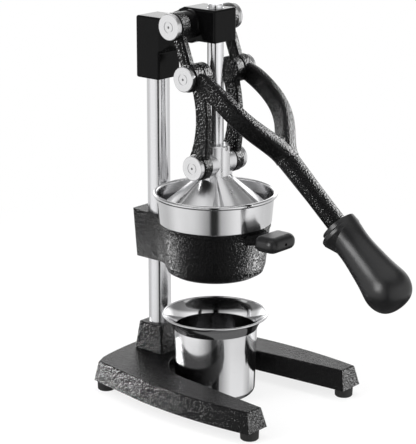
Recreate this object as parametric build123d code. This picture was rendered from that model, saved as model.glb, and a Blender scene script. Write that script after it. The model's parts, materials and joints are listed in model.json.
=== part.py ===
from build123d import *
import math
import os

os.makedirs("parts", exist_ok=True)

# Lever citrus juice press.  Millimetres, +Z up, the user stands at -Y.
# While the pieces are made, the guide rod's axis is x = 0, y = 0 and the feet stand on z = 0.
# At the end everything is moved so that the origin is the middle of the bottom of its box.

# ---------------------------------------------------------------- clearances
FIT = 0.05            # radial clearance of a pin, a screw or a tube in its hole
RUN = 0.3             # gap between faces that move past each other
SEAT = 0.1            # gap under a piece that sits in a recess

# ---------------------------------------------------------------- main axes
column_back = 75.0    # column axis behind the rod axis
column_dia = 23.0
column_wall = 2.5
rod_dia = 16.0

# heights that everything on the column hangs on
holder_top_z = 179.0
strainer_rim_z = holder_top_z + 29.0
cone_top_z = strainer_rim_z + 19.3  # foot of the press head's sleeve, with the press closed

# linkage, with the press closed: M stands over L, T is up and back from M
low_pivot_z = cone_top_z + 11.7     # L, on the press head
link_length = 89.5    # L to M
neck_drop = 48.0      # T above M
pivot_back = 18.0     # T behind the rod axis
lever_lift = 85.0     # degrees from closed to open
mid_pivot_z = low_pivot_z + link_length
top_pivot_z = mid_pivot_z + neck_drop

# stations along X from the middle to the end of the pivot bolts
ear_face = 18.0       # trunnion of the press head
link_in = ear_face + RUN
link_eye = 10.9       # thickness of a push link at its eyes
link_out = link_in + link_eye
lever_in = link_out + 2 * RUN + 0.2
lever_boss = 12.0     # thickness of the lever at its pivots
lever_out = lever_in + lever_boss
washer_thick = 2.0
cap_thick = 3.5
top_cap_radius = 12.8
cap_radius = 12.2
bolt_dia = 8.0
bolt_grip = 14.0      # thread length of a pivot bolt in its casting
cap_ring = 5.2        # radius of the turned ring on a bolt head
cap_centre = 1.2      # radius of the turning centre on a bolt head

# ---------------------------------------------------------------- base
deck_z = 30.6
foot_height = 10.4
base_draft = 12.5     # degrees
leg_front = 112.0     # front end of the legs, ahead of the rod axis
leg_out = 84.3        # outer edge at the front end
leg_in = 64.6         # inner edge at the front end
side_bulge = 89.8     # outer edge at its widest
side_bulge_ahead = 28.0
side_kink = 86.5
side_kink_back = 20.0
rear_corner_x = 74.2
rear_corner_back = column_back + 16.8
rear_chamfer_x = rear_corner_x - 12.2
rear_chamfer_back = column_back + 22.5
rear_mid_back = column_back + 29.0
crotch_radius = 53.0
crotch_ease = 3.0     # how much less the round crotch spreads than the rest
crotch_ahead = 8.5    # centre of the round crotch, ahead of the rod axis
base_edge = 1.5       # rounding of the upper edges
base_wall = 7.0       # rim round the hollow underside
base_deck = 8.0       # thickness over the hollow
pad_radius = 11.0     # solid pad over each foot
socket_foot = 18.75   # half side of the socket block at the deck
socket_head = 15.25   # half side at its top
socket_height = 28.4
socket_edge = 2.0
column_seat_z = deck_z - 10.6
boss_z = foot_height + 2.6         # underside of the boss that takes the column bolt
boss_radius = 18.0

foot_dia = 18.6
foot_taper = 0.4
foot_front_x = (leg_out + leg_in) / 2 + 0.3
foot_front_ahead = leg_front - 5.2
foot_rear_x = rear_corner_x - 6.2
foot_rear_back = column_back + 12.5
foot_recess_dia = 9.4
foot_recess_z = 4.6
foot_screw_dia = 4.0
foot_screw_head = 8.0
foot_screw_top = deck_z - 8.6

column_bolt_dia = 10.0
column_bolt_head = 8.5  # half width over flats
plug_length = 26.0

# ---------------------------------------------------------------- head
head_half = 16.1
head_top_z = top_pivot_z + 15.0
head_under_z = top_pivot_z - 16.8
head_front = 13.0       # front face ahead of the rod axis
head_rear_wall = 3.6    # metal behind the column
block_half_y = column_dia / 2 + head_rear_wall
block_top_z = top_pivot_z + 0.5
block_under_z = head_under_z - 44.7
ramp_back = pivot_back + 9.6  # where the top face starts to fall
waist_half = 9.0        # half width of the arm where it is narrowest
waist_back = pivot_back + 18.0  # narrowest place
waist_end = pivot_back + 15.0   # here it is full width again
arm_under_z = head_under_z - 2.7
arm_toe_z = head_under_z - 17.7
head_round = 2.2
boss_step_radius = 14.0
boss_step_x = 21.0
boss_end_radius = 13.0
bush_wall = 2.2
bush_cover = 3.0        # metal over the bush
column_top_z = block_top_z - 5.0
set_screw_dia = 6.0

# ---------------------------------------------------------------- bowl holder
holder_radius_top = 54.3
holder_radius_low = holder_radius_top - 4.1
holder_collar_radius = holder_radius_top + 0.9
holder_collar_height = 4.0
holder_bottom_z = holder_top_z - 51.7
holder_bend_z = holder_bottom_z + 9.7
holder_wall = 4.0
holder_floor = 5.0
spout_radius = 9.5
spout_end_radius = 8.0
spout_end_z = holder_bottom_z - 9.8
spout_bore = 5.5
arm_half = 16.5
arm_back_top = column_back + 21.5
arm_back_low = column_back + 16.8
arm_low_z = holder_bottom_z + 2.2
arm_sweep = 27.0        # radius that sweeps the arm into the bowl
arm_shoulder_back = column_back + 3.0
arm_fall_front = 40.0   # inside the bowl's wall
arm_front_z = holder_top_z - 10.0     # top of the arm where it meets the bowl
arm_edge = 1.5

# side handle of the bowl holder
lug_half = 18.0
lug_neck_half = 9.0
tang_half = 7.0
handle_z = holder_top_z - 7.0
lug_height = 10.5
knob_near = holder_radius_top + 8.2   # ahead of the rod axis
knob_far = knob_near + 27.0
knob_half = 19.5
knob_height = 15.6
knob_round = 7.2
knob_corner = 9.0       # of the corners away from the bowl, seen from above
tang_end = knob_near + 14.5
knob_screw_dia = 3.0    # threaded pin that holds the knob on its tang
knob_screw_sink = 2.5   # its end is this far inside the knob

# ---------------------------------------------------------------- strainer and reamer
strainer_bead = 2.1
strainer_wall = 1.0
strainer_radius_low = holder_radius_top + 1.7
strainer_radius_top = strainer_radius_low + 2.4
strainer_rim_radius = strainer_radius_top + 1.2
strainer_insert_radius = holder_radius_top - holder_wall - 0.5
strainer_floor_radius = strainer_insert_radius - 1.8
strainer_floor_z = holder_top_z - 11.0
strainer_hole_dia = 3.2
strainer_hole_rings = (strainer_floor_radius - 8.4, strainer_floor_radius - 3.8)
strainer_holes = 36
reamer_base_radius = strainer_floor_radius - 11.5
reamer_flange = 3.0
reamer_gap = 5.0        # height between the reamer and the hollow of the press head
reamer_ribs = 8
reamer_turn = 22.5      # degrees from +X to the first rib
reamer_rib_width = 3.0
reamer_rib_height = 2.0

# ---------------------------------------------------------------- press head
sleeve_radius = 14.4
sleeve_top_z = low_pivot_z + 18.5
cone_slope = 0.835      # fall of the cone for each millimetre outwards
cone_radius = strainer_floor_radius + 2.5
skirt_height = 4.6
cone_wall = 10.4        # height between the outer and the inner cone
cavity_top_radius = 9.0
trunnion_radius = 12.6
web_half = 7.5
flutes = 6
flute_turn = 15.0       # degrees from straight ahead to the first flute
flute_radius = 8.0
flute_lift = 3.2
rod_seat_z = low_pivot_z - 10.0
rod_top_z = head_top_z + 4.1
rod_end_dia = 14.4
rod_end_length = 3.8
cross_pin_dia = 4.0

# ---------------------------------------------------------------- lever and grip
fork_ahead = 90.0       # where the two arms become the shaft
fork_z = mid_pivot_z - 72.2
arm_lead = (38.0, 13.0) # first handle of the arm's curve: ahead of M and below it
arm_tail = (24.0, 31.0) # second handle: behind the fork and above it
arm_width = 11.0
arm_height = 20.0
arm_height_start = 14.5  # at M
arm_swell = 0.22        # share of the arm over which it gets its height
arm_raise = 2.3         # how far the arm's middle stands over its curve at M
arm_corner = 4.5
arm_sections = 13
shaft_dia = 19.5
shaft_root_dia = 21.5   # at the fork
shaft_taper = 45.0      # length over which it thins
web_round = 9.0         # round in the fork between the arms
web_height = 17.0
web_at = 0.84           # place on the arm, from 0 at M to 1 at the fork
shaft_slope = 41.25     # degrees below level
fork_close = 1.5        # how near the arms' middles come to the centre plane
neck_width = 13.0
neck_thick = 9.0
neck_rib_radius = 4.6
lever_boss_radius = 13.4
grip_start = 81.5       # from the fork to the mouth of the grip, along the shaft
grip_length = 97.0
grip_mouth_radius = 17.6
grip_waist_radius = 16.7
grip_bulb_radius = 22.8
grip_mouth_depth = 2.5
grip_lip = 2.4
tang_dia = 13.0
tang_length = 70.0
ferrule_radius = 13.2

# ---------------------------------------------------------------- push links
link_body = 8.0         # thickness between the eyes
link_eye_radius = 13.2
link_half_width = 8.3
link_mid_front = 13.2   # front edge ahead of the line L to M, half way up
link_mid_rear = 2.0     # rear edge behind it
link_round = 1.6

# ---------------------------------------------------------------- cup
cup_foot_radius = 40.3
cup_body_radius = 42.4
cup_neck_z = 69.3
cup_rim_radius = 52.8
cup_rim_z = 83.1
cup_bead = 1.1
cup_wall = 1.0
cup_corner = 7.0
cup_flare = 30.0        # radius of the flare under the rim


# ================================================================ helpers
def rod_z(radius, z0, z1, x=0.0, y=0.0):
    return Pos(x, y, (z0 + z1) / 2) * Cylinder(radius, abs(z1 - z0))


def rod_x(radius, x0, x1, y, z):
    return Pos((x0 + x1) / 2, y, z) * Rot(0, 90, 0) * Cylinder(radius, abs(x1 - x0))


def rod_y(radius, y0, y1, x, z):
    return Pos(x, (y0 + y1) / 2, z) * Rot(90, 0, 0) * Cylinder(radius, abs(y1 - y0))


def block(x0, x1, y0, y1, z0, z1):
    return Pos((x0 + x1) / 2, (y0 + y1) / 2, (z0 + z1) / 2) * Box(x1 - x0, y1 - y0, z1 - z0)


def turned(points):
    """Revolve a closed outline of (radius, z) points about the rod axis."""
    outline = Plane.XZ * Polyline(*points, close=True)
    return revolve(make_face(outline.edges()), Axis.Z)


def side_plate(points, x0, x1, corner=0.0):
    """Extrude a closed (y, z) outline from x0 to x1, with its corners rounded."""
    face = make_face(Polyline(*points, close=True).edges())
    if corner > 0:
        face = fillet(face.vertices(), corner)
    plane = Plane(origin=(x0, 0, 0), x_dir=(0, 1, 0), z_dir=(1, 0, 0))
    return extrude(plane * face, x1 - x0)


def both_sides(shape):
    return [shape, mirror(shape, about=Plane.YZ)]


def around(count, start=0.0):
    return [start + 360.0 * i / count for i in range(count)]


# ================================================================ base and feet
def base_outline(crotch=crotch_radius):
    """Outline of the deck: two legs ahead, joined by a round crotch that runs into them."""
    leg = (leg_in, crotch_ahead - leg_front)
    turn = math.acos(crotch / math.hypot(*leg)) + math.atan2(leg[1], leg[0])
    joint = (crotch * math.cos(turn), crotch * math.sin(turn) - crotch_ahead)
    right = [
        Line((rear_chamfer_x, rear_chamfer_back), (rear_corner_x, rear_corner_back)),
        Line((rear_corner_x, rear_corner_back), (side_kink, side_kink_back)),
        ThreePointArc((side_kink, side_kink_back),
                      (side_bulge, -side_bulge_ahead), (leg_out, -leg_front)),
        Line((leg_out, -leg_front), (leg_in, -leg_front)),
        Line((leg_in, -leg_front), joint),
    ]
    left = [mirror(edge, about=Plane.YZ) for edge in right]
    rear = ThreePointArc((-rear_chamfer_x, rear_chamfer_back), (0, rear_mid_back),
                         (rear_chamfer_x, rear_chamfer_back))
    inner = ThreePointArc(joint, (0, crotch - crotch_ahead), (-joint[0], joint[1]))
    return make_face([rear, inner] + right + left)


def foot_places():
    return {
        "foot_front_left": (-foot_front_x, -foot_front_ahead),
        "foot_front_right": (foot_front_x, -foot_front_ahead),
        "foot_rear_left": (-foot_rear_x, foot_rear_back),
        "foot_rear_right": (foot_rear_x, foot_rear_back),
    }


def base_casting():
    height = deck_z - foot_height
    spread = height * math.tan(math.radians(base_draft))
    deck = base_outline()
    sole = offset(base_outline(crotch_radius + crotch_ease), amount=spread,
                  kind=Kind.INTERSECTION)
    slab = loft([Pos(0, 0, foot_height) * sole, Pos(0, 0, deck_z) * deck], ruled=True)
    slab = fillet(slab.faces().sort_by(Axis.Z)[-1].outer_wire().edges(), base_edge)
    sink = base_edge + 0.2
    flare = sink * (socket_foot - socket_head) / socket_height
    socket = loft([
        Pos(0, column_back, deck_z - sink) * Rectangle(2 * (socket_foot + flare),
                                                       2 * (socket_foot + flare)),
        Pos(0, column_back, deck_z + socket_height) * Rectangle(2 * socket_head,
                                                                2 * socket_head),
    ], ruled=True)
    corners = [edge for edge in socket.edges() if abs(edge.tangent_at(0.5).Z) > 0.5]
    socket = fillet(corners, socket_edge)
    socket = fillet(socket.faces().sort_by(Axis.Z)[-1].edges(), socket_edge / 2)
    hollow = offset(sole, amount=-base_wall, kind=Kind.INTERSECTION)
    hollow = extrude(Pos(0, 0, foot_height) * hollow, height - base_deck)
    for x, y in foot_places().values():
        hollow -= rod_z(pad_radius, foot_height, deck_z, x, y)
    hollow -= rod_z(boss_radius, foot_height, deck_z, 0, column_back)
    body = slab + socket - hollow
    body -= rod_z(boss_radius + 1, foot_height - 1, boss_z, 0, column_back)
    body -= rod_z(column_dia / 2 + FIT, column_seat_z, deck_z + socket_height + 1, 0, column_back)
    body -= rod_z(column_bolt_dia / 2 + 0.3, boss_z - 1, column_seat_z + 1, 0, column_back)
    for x, y in foot_places().values():
        body -= rod_z(foot_screw_dia / 2 + FIT, foot_height - 1, foot_screw_top + SEAT, x, y)
    return body


def foot(x, y):
    radius = foot_dia / 2
    shape = turned([
        (foot_recess_dia / 2, 0), (radius - foot_taper - 1.0, 0), (radius - foot_taper, 1.0),
        (radius, foot_height), (foot_screw_dia / 2 + FIT, foot_height),
        (foot_screw_dia / 2 + FIT, foot_recess_z), (foot_recess_dia / 2, foot_recess_z),
    ])
    return Pos(x, y, 0) * shape


def foot_screws():
    screws = []
    for x, y in foot_places().values():
        screw = rod_z(foot_screw_head / 2, foot_recess_z - 2.4, foot_recess_z, x, y)
        screw += rod_z(foot_screw_dia / 2, foot_recess_z - 1, foot_screw_top, x, y)
        screw -= block(x - 2.6, x + 2.6, y - 0.5, y + 0.5, foot_recess_z - 2.5, foot_recess_z - 1.4)
        screws.append(screw)
    return screws


# ================================================================ column
def column():
    tube = rod_z(column_dia / 2, column_seat_z, column_top_z, 0, column_back)
    tube = chamfer(tube.edges().group_by(Axis.Z)[-1], 0.8)
    return tube - rod_z(column_dia / 2 - column_wall, column_seat_z - 1, column_top_z + 1,
                        0, column_back)


def column_plug():
    radius = column_dia / 2 - column_wall - FIT
    plug = rod_z(radius, column_seat_z, column_seat_z + plug_length, 0, column_back)
    return plug - rod_z(column_bolt_dia / 2 + FIT, column_seat_z - 1,
                        column_seat_z + plug_length + 1, 0, column_back)


def column_washer():
    ring = rod_z(boss_radius - 5, boss_z - 2, boss_z, 0, column_back)
    return ring - rod_z(column_bolt_dia / 2 + 0.3, boss_z - 3, boss_z + 1, 0, column_back)


def column_bolt():
    hexagon = RegularPolygon(column_bolt_head, 6, major_radius=False)
    bolt = extrude(Pos(0, column_back, boss_z - 8) * hexagon, 6)
    return bolt + rod_z(column_bolt_dia / 2, boss_z - 3, column_seat_z + plug_length - 4,
                        0, column_back)


# ================================================================ head
def head_outline():
    front = -head_front
    rear = column_back + block_half_y
    face_back = column_back - block_half_y
    return [
        (rear, block_under_z), (rear, block_top_z), (face_back, block_top_z),
        (ramp_back, head_top_z), (front, head_top_z), (front, head_under_z),
        (12.0, head_under_z), (pivot_back, arm_under_z), (face_back - 19.0, arm_under_z),
        (face_back, arm_toe_z), (face_back, block_under_z),
    ]


def head_casting():
    body = side_plate(head_outline(), -head_half, head_half, head_round)
    for end in (0, -1):
        body = fillet(body.faces().sort_by(Axis.X)[end].edges(), head_round)
    face_back = column_back - block_half_y
    waist = Polyline((head_half + 1, face_back), (head_half, face_back),
                     (waist_half, waist_back), (head_half + 0.1, waist_end),
                     (head_half + 1, waist_end), close=True)
    waist = extrude(Pos(0, 0, block_under_z) * make_face(waist.edges()),
                    head_top_z - block_under_z + 1)
    boss = rod_x(boss_step_radius, 0, boss_step_x, pivot_back, top_pivot_z)
    boss = chamfer(boss.edges().group_by(Axis.X)[-1], 1.2)
    boss += rod_x(boss_end_radius, 0, lever_in - RUN, pivot_back, top_pivot_z)
    for side in both_sides(waist):
        body -= side
    for side in both_sides(boss):
        body += side
    drill = rod_x(bolt_dia / 2 + FIT, lever_in - RUN - bolt_grip, lever_in + 1,
                  pivot_back, top_pivot_z)
    for side in both_sides(drill):
        body -= side
    body -= rod_z(rod_dia / 2 + bush_wall + FIT, head_under_z - 1, head_top_z - bush_cover)
    body -= rod_z(rod_dia / 2 + RUN, head_under_z - 1, head_top_z + 1)
    body -= rod_z(column_dia / 2 + FIT, block_under_z - 1, column_top_z + SEAT, 0, column_back)
    for z in head_screw_heights():
        body -= rod_y(set_screw_dia / 2 + FIT, column_back + column_dia / 2 - 1,
                      column_back + block_half_y + 1, 0, z)
    return body


def head_screw_heights():
    third = (column_top_z - block_under_z) / 3
    return [block_under_z + third, block_under_z + 2 * third]


def grub_screw(z, face_y):
    start = column_back + column_dia / 2 + SEAT
    screw = rod_y(set_screw_dia / 2, start, face_y - 0.4, 0, z)
    socket = Plane(origin=(0, face_y, z), z_dir=(0, 1, 0)) * RegularPolygon(1.5, 6)
    return screw - extrude(socket, -2.0)


def head_set_screws():
    return [grub_screw(z, column_back + block_half_y) for z in head_screw_heights()]


def rod_bush():
    bush = rod_z(rod_dia / 2 + bush_wall, head_under_z + 0.6, head_top_z - bush_cover - SEAT)
    return bush - rod_z(rod_dia / 2 + FIT, head_under_z, head_top_z)


# ================================================================ pivot bolts
def pivot_bolt(outer_face, tip, radius, y, z):
    """A shoulder bolt with a flat turned head, for the +X side."""
    head_in = outer_face + RUN + washer_thick
    head_out = head_in + cap_thick
    bolt = rod_x(radius, head_in, head_out, y, z)
    bolt = fillet(bolt.edges().filter_by(GeomType.CIRCLE).group_by(Axis.X)[-1], 0.9)
    ring = rod_x(cap_ring + 0.35, head_out - 0.45, head_out + 1, y, z)
    ring -= rod_x(cap_ring - 0.35, head_out - 1, head_out + 2, y, z)
    bolt -= ring
    bolt -= rod_x(cap_centre, head_out - 1.6, head_out + 1, y, z)
    return bolt + rod_x(bolt_dia / 2, tip, head_in + 1, y, z)


def pivot_washer(outer_face, radius, y, z):
    ring = rod_x(radius - 0.3, outer_face + RUN, outer_face + RUN + washer_thick, y, z)
    ring = chamfer(ring.edges().filter_by(GeomType.CIRCLE), 0.4)
    return ring - rod_x(bolt_dia / 2 + FIT, outer_face, outer_face + RUN + washer_thick + 1, y, z)


# ================================================================ bowl holder
def arm_plan(bowl_radius, back):
    """Plan outline of the holder's arm: square at the back, swept into the bowl in front."""
    far = bowl_radius + arm_sweep
    centre = (arm_half + arm_sweep, math.sqrt(far ** 2 - (arm_half + arm_sweep) ** 2))
    toward = (-1 - centre[0] / far, -centre[1] / far)
    size = math.hypot(*toward)
    middle = tuple(c + arm_sweep * d / size for c, d in zip(centre, toward))
    on_bowl = tuple(c * bowl_radius / far for c in centre)
    right = [Line((arm_half, back), (arm_half, centre[1])),
             ThreePointArc((arm_half, centre[1]), middle, on_bowl)]
    left = [mirror(edge, about=Plane.YZ) for edge in right]
    ends = [Line((-arm_half, back), (arm_half, back)),
            Line((-on_bowl[0], on_bowl[1]), on_bowl)]
    return make_face(right + left + ends)


def holder_arm():
    low = arm_plan(holder_radius_low - 0.3, arm_back_low)
    high = arm_plan(holder_radius_top - 0.3, arm_back_top)
    arm = loft([Pos(0, 0, arm_low_z) * low, Pos(0, 0, holder_top_z) * high], ruled=True)
    corners = arm.faces().sort_by(Axis.Y)[-1].edges()
    arm = fillet([edge for edge in corners if abs(edge.tangent_at(0.5).Z) > 0.5], arm_edge)
    fall = side_plate([
        (arm_back_top + 1, holder_top_z + 1), (arm_back_top + 1, holder_top_z),
        (arm_shoulder_back, holder_top_z - 1.2), (arm_fall_front, arm_front_z),
        (arm_fall_front, holder_top_z + 1),
    ], -holder_radius_top, holder_radius_top)
    return arm - fall


def handle_lug():
    z0 = handle_z - lug_height / 2
    wall = holder_radius_top - holder_wall / 2
    lug = Polyline((-lug_half, -wall + 5), (-lug_neck_half, -knob_near + 0.3),
                   (lug_neck_half, -knob_near + 0.3), (lug_half, -wall + 5), close=True)
    lug = extrude(Pos(0, 0, z0) * make_face(lug.edges()), lug_height)
    lug = fillet(lug.edges().filter_by(Axis.Y, reverse=True).filter_by(Axis.X, reverse=True)
                 .filter_by(Axis.Z, reverse=True), 2.0)
    tang = block(-tang_half, tang_half, -tang_end, -knob_near + 2, z0 + 1, z0 + lug_height - 1)
    return lug + tang


def bowl_holder():
    collar_low = holder_top_z - holder_collar_height
    outer = turned([
        (0, holder_bottom_z), (holder_radius_low - 7.5, holder_bottom_z),
        (holder_radius_low - 2.2, holder_bottom_z + 3.0), (holder_radius_low, holder_bend_z),
        (holder_radius_top, collar_low), (holder_collar_radius, collar_low + 0.8),
        (holder_collar_radius, holder_top_z), (0, holder_top_z),
    ])
    spout = Pos(0, 0, (spout_end_z + holder_bottom_z + 2) / 2) * Cone(
        spout_end_radius, spout_radius, holder_bottom_z + 2 - spout_end_z)
    inner_low = holder_radius_low - holder_wall
    inside = turned([
        (0, holder_bottom_z + holder_floor - 2.0), (spout_bore, holder_bottom_z + holder_floor - 2.0),
        (inner_low - 6.0, holder_bottom_z + holder_floor + 1.5),
        (inner_low, holder_bend_z + 1.5),
        (holder_radius_top - holder_wall, holder_top_z + 1), (0, holder_top_z + 1),
    ])
    body = outer + spout + holder_arm() + handle_lug()
    body -= inside
    body -= rod_z(spout_bore, spout_end_z - 1, holder_bend_z)
    body -= rod_z(column_dia / 2 + FIT, holder_bottom_z - 10, holder_top_z + 5, 0, column_back)
    for z in holder_screw_heights():
        body -= rod_y(set_screw_dia / 2 + FIT, column_back + column_dia / 2 - 1,
                      arm_back_top + 1, 0, z)
    body -= rod_y(knob_screw_dia / 2 + FIT, -tang_end - 1, -tang_end + 11, 0, handle_z)
    return body


def holder_screw_heights():
    span = holder_top_z - holder_bottom_z
    return [holder_bottom_z + span * 0.3, holder_bottom_z + span * 0.7]


def holder_set_screws():
    screws = []
    for z in holder_screw_heights():
        run = (z - arm_low_z) / (holder_top_z - arm_low_z)
        screws.append(grub_screw(z, arm_back_low + run * (arm_back_top - arm_back_low)))
    return screws


def holder_knob():
    z0 = handle_z - knob_height / 2
    knob = block(-knob_half, knob_half, -knob_far, -knob_near, z0, z0 + knob_height)
    corners = knob.edges().filter_by(Axis.Z).group_by(Axis.Y)
    knob = fillet(corners[0], knob_corner)
    knob = fillet(knob.edges().filter_by(Axis.Z).group_by(Axis.Y)[-1], knob_round + 0.1)
    knob = fillet(knob.faces().sort_by(Axis.Z)[-1].edges(), knob_round)
    knob = fillet(knob.faces().sort_by(Axis.Z)[0].edges(), knob_round)
    low = handle_z - lug_height / 2 + 1
    knob -= block(-tang_half - SEAT, tang_half + SEAT, -tang_end - SEAT, -knob_near + 1,
                  low - SEAT, low + lug_height - 2 + SEAT)
    knob -= rod_y(knob_screw_dia / 2 + FIT, -knob_far - 1, -tang_end + 1, 0, handle_z)
    return knob


def knob_screw():
    near = -knob_far + knob_screw_sink
    screw = rod_y(knob_screw_dia / 2, near, -tang_end + 10, 0, handle_z)
    return screw - block(-0.7, 0.7, near - 1, near + 1.4, handle_z - 0.7, handle_z + 0.7)


# ================================================================ strainer and reamer
def strainer():
    wall = strainer_wall
    step_z = holder_top_z + SEAT
    shell = turned([
        (strainer_radius_top, strainer_rim_z), (strainer_radius_low, step_z + 1.2),
        (strainer_radius_low - 1.0, step_z), (strainer_insert_radius, step_z),
        (strainer_insert_radius - 0.3, step_z - 2.0), (strainer_floor_radius, strainer_floor_z),
        (0, strainer_floor_z), (0, strainer_floor_z + wall),
        (strainer_floor_radius - wall, strainer_floor_z + wall),
        (strainer_insert_radius - 0.3 - wall, step_z - 1.0), (strainer_insert_radius - wall, step_z + wall),
        (strainer_radius_low - 1.0 - wall / 2, step_z + wall),
        (strainer_radius_low - wall, step_z + 2.0), (strainer_radius_top - wall, strainer_rim_z),
    ])
    bead = Plane.XZ * Pos(strainer_rim_radius, strainer_rim_z) * Circle(strainer_bead)
    shell += revolve(bead, Axis.Z)
    for ring_index, radius in enumerate(strainer_hole_rings):
        start = ring_index * 180.0 / strainer_holes
        for angle in around(strainer_holes, start):
            place = Rot(0, 0, angle) * Pos(radius, 0, strainer_floor_z)
            shell -= place * Cylinder(strainer_hole_dia / 2, 4 * wall)
    return shell


def cavity_z(radius):
    """Height of the hollow under the press head at a radius."""
    return cone_top_z + cone_slope * (sleeve_radius - radius) - cone_wall


def reamer():
    seat = strainer_floor_z + strainer_wall + SEAT
    tip_radius = cavity_top_radius - 3.0
    tip_z = cavity_z(cavity_top_radius) - reamer_gap
    edge = reamer_base_radius - 2.0
    edge_z = cavity_z(edge) - reamer_gap
    body = turned([
        (0, seat), (reamer_base_radius, seat), (reamer_base_radius, seat + reamer_flange),
        (edge, seat + reamer_flange), (edge, edge_z), (tip_radius, tip_z - 0.5),
        (tip_radius - 2.0, tip_z), (0, tip_z),
    ])
    rib = side_plate([
        (edge - 1, seat + reamer_flange - 1), (edge + 1.5, seat + reamer_flange - 1),
        (edge + 1.5, edge_z - 1.5), (edge - 1.5, edge_z + reamer_rib_height),
        (tip_radius, tip_z - 0.5), (tip_radius, tip_z - 4.0), (edge - 4, edge_z - 2.0),
        (edge - 4, seat + reamer_flange - 1),
    ], -reamer_rib_width / 2, reamer_rib_width / 2)
    for angle in around(reamer_ribs, reamer_turn):
        body += Rot(0, 0, angle) * rib
    return body - rod_z(6.0, seat - 1, seat + 14)


# ================================================================ press head and rod
def press_head():
    rim_z = cone_top_z + cone_slope * (sleeve_radius - cone_radius)
    foot_z = rim_z - skirt_height
    body = turned([
        (0, foot_z), (cone_radius, foot_z), (cone_radius, rim_z),
        (sleeve_radius, cone_top_z), (sleeve_radius, sleeve_top_z - 1.0),
        (sleeve_radius - 1.0, sleeve_top_z), (0, sleeve_top_z),
    ])
    body += rod_x(trunnion_radius, -ear_face, ear_face, 0, low_pivot_z)
    body += block(-ear_face + 1, ear_face - 1, -web_half, web_half,
                  cone_top_z + cone_slope * (sleeve_radius - ear_face) - 1, low_pivot_z)
    run = cone_radius - sleeve_radius
    fall = run * cone_slope
    along = math.hypot(run, fall)
    tilt = math.degrees(math.atan2(run, flute_lift - fall))
    cutter_length = along * 1.25
    cutter = Pos(0, 0, cutter_length / 2) * Cone(0.2, flute_radius * 1.25, cutter_length)
    cutter = Pos(0, -sleeve_radius, cone_top_z) * Rot(tilt, 0, 0) * cutter
    for angle in around(flutes, flute_turn):
        body -= Rot(0, 0, angle) * cutter
    foot_radius = cavity_top_radius + (cavity_z(cavity_top_radius) - foot_z) / cone_slope
    body -= turned([
        (0, foot_z - 1), (foot_radius + 1 / cone_slope, foot_z - 1),
        (cavity_top_radius, cavity_z(cavity_top_radius)),
        (0, cavity_z(cavity_top_radius)),
    ])
    body -= rod_z(rod_dia / 2 + FIT, rod_seat_z, sleeve_top_z + 1)
    drill = rod_x(bolt_dia / 2 + FIT, rod_dia / 2 + 1.2, ear_face + 1, 0, low_pivot_z)
    for side in both_sides(drill):
        body -= side
    body -= rod_y(cross_pin_dia / 2 + FIT, -sleeve_radius - 1, sleeve_radius + 1,
                  0, cross_pin_z())
    return body


def cross_pin_z():
    return (low_pivot_z + trunnion_radius + sleeve_top_z) / 2


def cross_pin():
    return rod_y(cross_pin_dia / 2, -sleeve_radius + 0.6, sleeve_radius - 0.6, 0, cross_pin_z())


def guide_rod():
    rod = rod_z(rod_dia / 2, rod_seat_z + SEAT, rod_top_z - rod_end_length)
    end = rod_z(rod_end_dia / 2, rod_top_z - rod_end_length - 1, rod_top_z)
    end = chamfer(end.edges().group_by(Axis.Z)[-1], 0.9)
    rod += end
    return rod - rod_y(cross_pin_dia / 2 + FIT, -rod_dia, rod_dia, 0, cross_pin_z())


# ================================================================ lever
lever_middle = (lever_in + lever_out) / 2


def arm_point(t):
    """Middle of the right arm at t, from M at 0 to the fork at 1, as (x, ahead, z)."""
    points = [(0.0, mid_pivot_z), (arm_lead[0], mid_pivot_z - arm_lead[1]),
              (fork_ahead - arm_tail[0], fork_z + arm_tail[1]), (fork_ahead, fork_z)]
    weights = [(1 - t) ** 3, 3 * t * (1 - t) ** 2, 3 * t * t * (1 - t), t ** 3]
    ahead = sum(w * p[0] for w, p in zip(weights, points))
    z = sum(w * p[1] for w, p in zip(weights, points))
    close = 0.5 * (1 + math.cos(math.pi * t ** 2.4))
    return fork_close + (lever_middle - fork_close) * close, ahead, z


def arm_section(t):
    step = 0.01
    a = arm_point(max(0.0, t - step))
    b = arm_point(min(1.0, t + step))
    x, ahead, z = arm_point(t)
    along = Vector(b[0] - a[0], a[1] - b[1], b[2] - a[2]).normalized()
    up = Vector(0, -(b[2] - a[2]), -(b[1] - a[1])).normalized() * -1
    wide = along.cross(up).normalized()
    swell = math.sin(min(1.0, t / arm_swell) * math.pi / 2)
    middle = Vector(x, -ahead, z) + up * arm_raise * (1 - t) * swell
    plane = Plane(origin=middle, x_dir=wide, z_dir=along)
    end_width = 2 * (shaft_root_dia / 2 - fork_close)
    width = arm_width + (end_width - arm_width) * t ** 2.5
    height = arm_height_start + (arm_height - arm_height_start) * swell
    height += (shaft_root_dia - arm_height) * t ** 4
    corner = arm_corner + (min(end_width, shaft_root_dia) * 0.46 - arm_corner) * t ** 6
    return plane * RectangleRounded(width, height, corner)


def lever_arm():
    stations = [i / (arm_sections - 1) for i in range(arm_sections)]
    return loft([arm_section(t) for t in stations])


def fork_web():
    """Rounded filling where the two arms meet."""
    a = arm_point(web_at - 0.02)
    b = arm_point(web_at + 0.02)
    along = Vector(0, a[1] - b[1], b[2] - a[2]).normalized()
    x, ahead, z = arm_point(web_at)
    plane = Plane(origin=(0, -ahead, z), x_dir=(1, 0, 0), z_dir=along)
    web = Pos(0, 0, 2.0) * Box(2 * web_round * 0.8, web_height, 12.0)
    web -= Pos(0, 0, -web_round) * Rot(90, 0, 0) * Cylinder(web_round, web_height + 2)
    return plane * web


def shaft_plane(distance):
    """A plane across the shaft, at a distance past the fork; its normal points to the grip."""
    slope = math.radians(shaft_slope)
    along = Vector(0, -math.cos(slope), -math.sin(slope))
    start = Vector(0, -fork_ahead, fork_z)
    return Plane(origin=start + along * distance, x_dir=(1, 0, 0), z_dir=along)


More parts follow.
